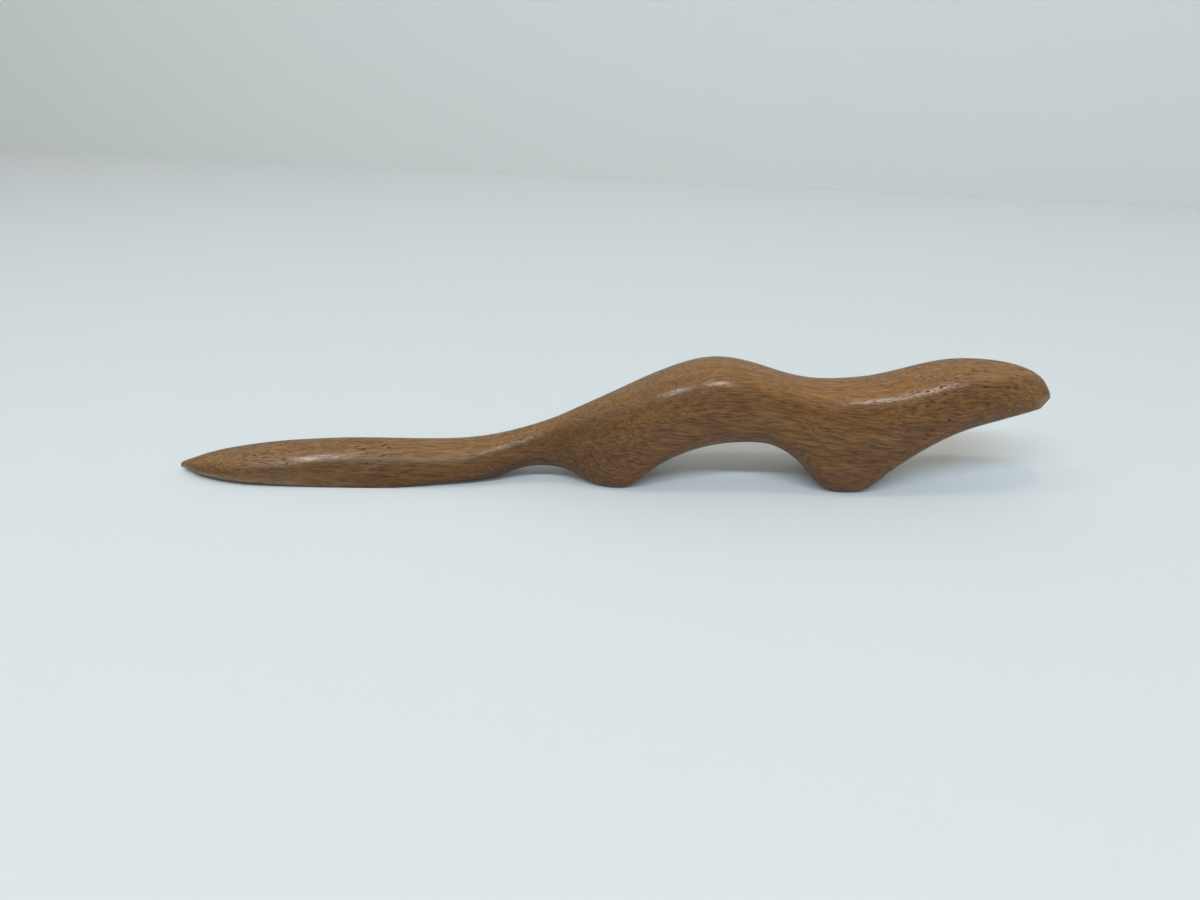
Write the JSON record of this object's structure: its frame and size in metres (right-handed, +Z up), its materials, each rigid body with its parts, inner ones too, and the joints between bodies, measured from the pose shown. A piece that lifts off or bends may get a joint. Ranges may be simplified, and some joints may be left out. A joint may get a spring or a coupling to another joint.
{
  "type": "letter opener",
  "caption": "Letter opener carved from solid hardwood as a long-bodied animal: the flat, tapering tail is the blade, the slim neck and arched body are the grip.",
  "frame": {"origin": "on the table, under the middle of the piece's length and width", "axes": "+X runs along the piece from the blade tip to the nose, +Y across it to the animal's left, +Z up from the table"},
  "size_m": [0.23, 0.024, 0.0335],
  "materials": {
    "oiled_hardwood": "brown open-pored hardwood, sanded smooth and rubbed with oil to a soft satin sheen"
  },
  "bodies": {
    "root": {"carved_body": "oiled_hardwood"}
  },
  "joints": []
}
